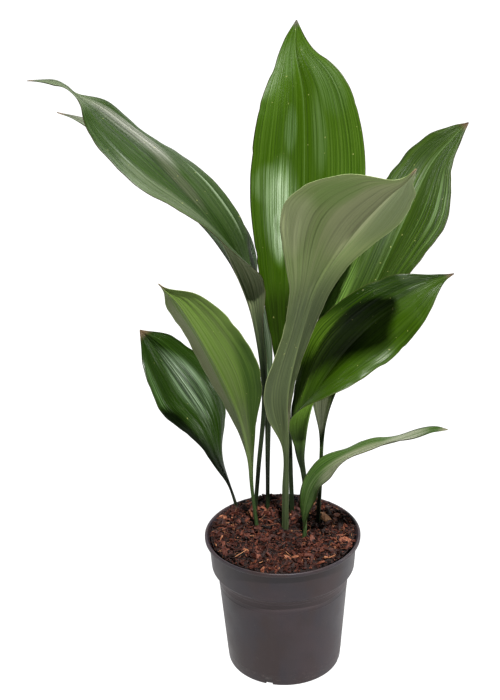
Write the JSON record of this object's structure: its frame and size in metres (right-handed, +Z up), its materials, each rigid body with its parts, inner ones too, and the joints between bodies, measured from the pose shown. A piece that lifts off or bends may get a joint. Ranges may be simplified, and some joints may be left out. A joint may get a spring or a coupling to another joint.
{
  "type": "potted cast iron plant",
  "caption": "Broad-leaved evergreen house plant: long arching lance-shaped leaves on slim stalks, growing from bark potting mix in a round plastic nursery pot.",
  "frame": {"origin": "centre of the pot's flat underside, on the surface that the pot stands on", "axes": "+Z up from the pot towards the leaf tips; -Y towards the front, where the two front leaves lean out; +X to the right seen from the front"},
  "size_m": [0.4627, 0.2665, 0.6881],
  "materials": {
    "pot_plastic": "dark grey moulded plastic, thin, slightly dusty satin",
    "bark_mix": "loose reddish-brown bark chips, coir and peat, matte",
    "leaf_tall_tissue": "leathery fresh green leaf, satin upper face with fine parallel veins",
    "leaf_front_tissue": "leathery leaf, matte grey-green underside with thin pale margins",
    "leaf_far_left_tissue": "leathery green leaf with pleats along the midrib, satin",
    "leaf_behind_left_tissue": "leathery green leaf, satin",
    "leaf_left_tissue": "leathery leaf, lighter yellow-green matte underside",
    "leaf_low_left_tissue": "leathery deep green leaf, glossy upper face",
    "leaf_right_tissue": "leathery green leaf with long streaks along the veins, satin",
    "leaf_right_shaded_tissue": "leathery green leaf, satin upper face with fine parallel veins",
    "leaf_low_right_tissue": "leathery pale green leaf with a grey-white sheen"
  },
  "bodies": {
    "root": {"pot": "pot_plastic", "potting_mix": "bark_mix", "leaf_tall": "leaf_tall_tissue", "leaf_front": "leaf_front_tissue", "leaf_far_left": "leaf_far_left_tissue", "leaf_behind_left": "leaf_behind_left_tissue", "leaf_left": "leaf_left_tissue", "leaf_low_left": "leaf_low_left_tissue", "leaf_right": "leaf_right_tissue", "leaf_right_shaded": "leaf_right_shaded_tissue", "leaf_low_right": "leaf_low_right_tissue"}
  },
  "joints": []
}
